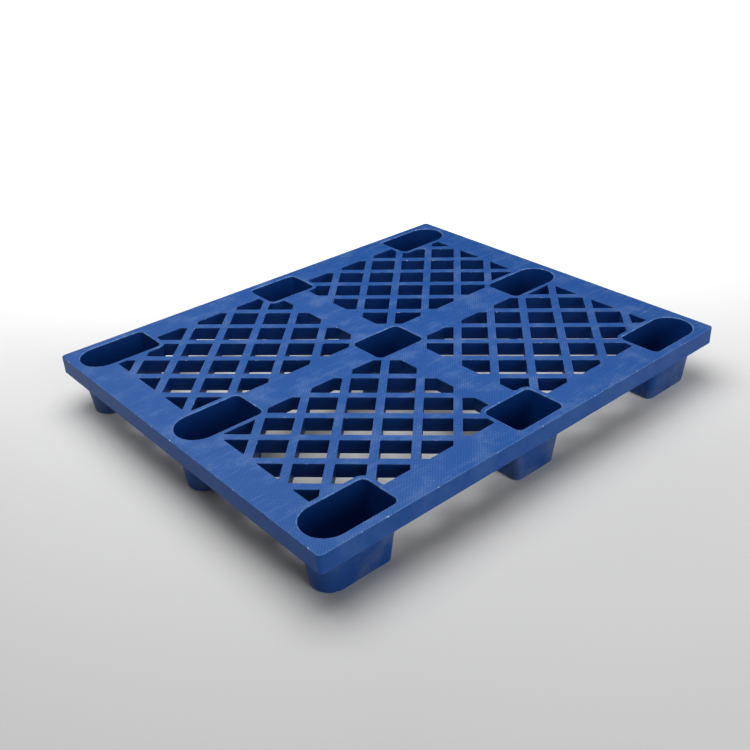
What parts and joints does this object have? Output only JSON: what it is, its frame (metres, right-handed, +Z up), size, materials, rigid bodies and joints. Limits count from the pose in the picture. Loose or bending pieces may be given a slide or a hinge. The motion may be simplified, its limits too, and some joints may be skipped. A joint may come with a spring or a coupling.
{
  "type": "plastic pallet",
  "caption": "Nestable plastic pallet: a flat deck with a diagonal open lattice, a shallow skirt and tapered cup legs that are open at the top.",
  "frame": {"origin": "on the floor, under the middle of the deck", "axes": "+X along the 1200 mm side, +Y along the 1000 mm side towards the back, +Z up out of the deck"},
  "size_m": [1.2, 1, 0.14],
  "materials": {
    "pallet_plastic": "fine grained moulded polyethylene, worn paler on the edges of the deck"
  },
  "bodies": {
    "root": {"leg_front_left": "pallet_plastic", "leg_front_mid": "pallet_plastic", "leg_front_right": "pallet_plastic", "leg_mid_left": "pallet_plastic", "leg_center": "pallet_plastic", "leg_mid_right": "pallet_plastic", "leg_back_left": "pallet_plastic", "leg_back_mid": "pallet_plastic", "leg_back_right": "pallet_plastic", "grid_front_left": "pallet_plastic", "grid_front_right": "pallet_plastic", "grid_back_left": "pallet_plastic", "grid_back_right": "pallet_plastic", "band_front_left": "pallet_plastic", "band_front_right": "pallet_plastic", "band_back_left": "pallet_plastic", "band_back_right": "pallet_plastic", "band_left_front": "pallet_plastic", "band_left_back": "pallet_plastic", "band_right_front": "pallet_plastic", "band_right_back": "pallet_plastic", "spine_left": "pallet_plastic", "spine_right": "pallet_plastic", "spine_front": "pallet_plastic", "spine_back": "pallet_plastic", "skirt_front": "pallet_plastic", "skirt_back": "pallet_plastic", "skirt_left": "pallet_plastic", "skirt_right": "pallet_plastic"}
  },
  "joints": []
}
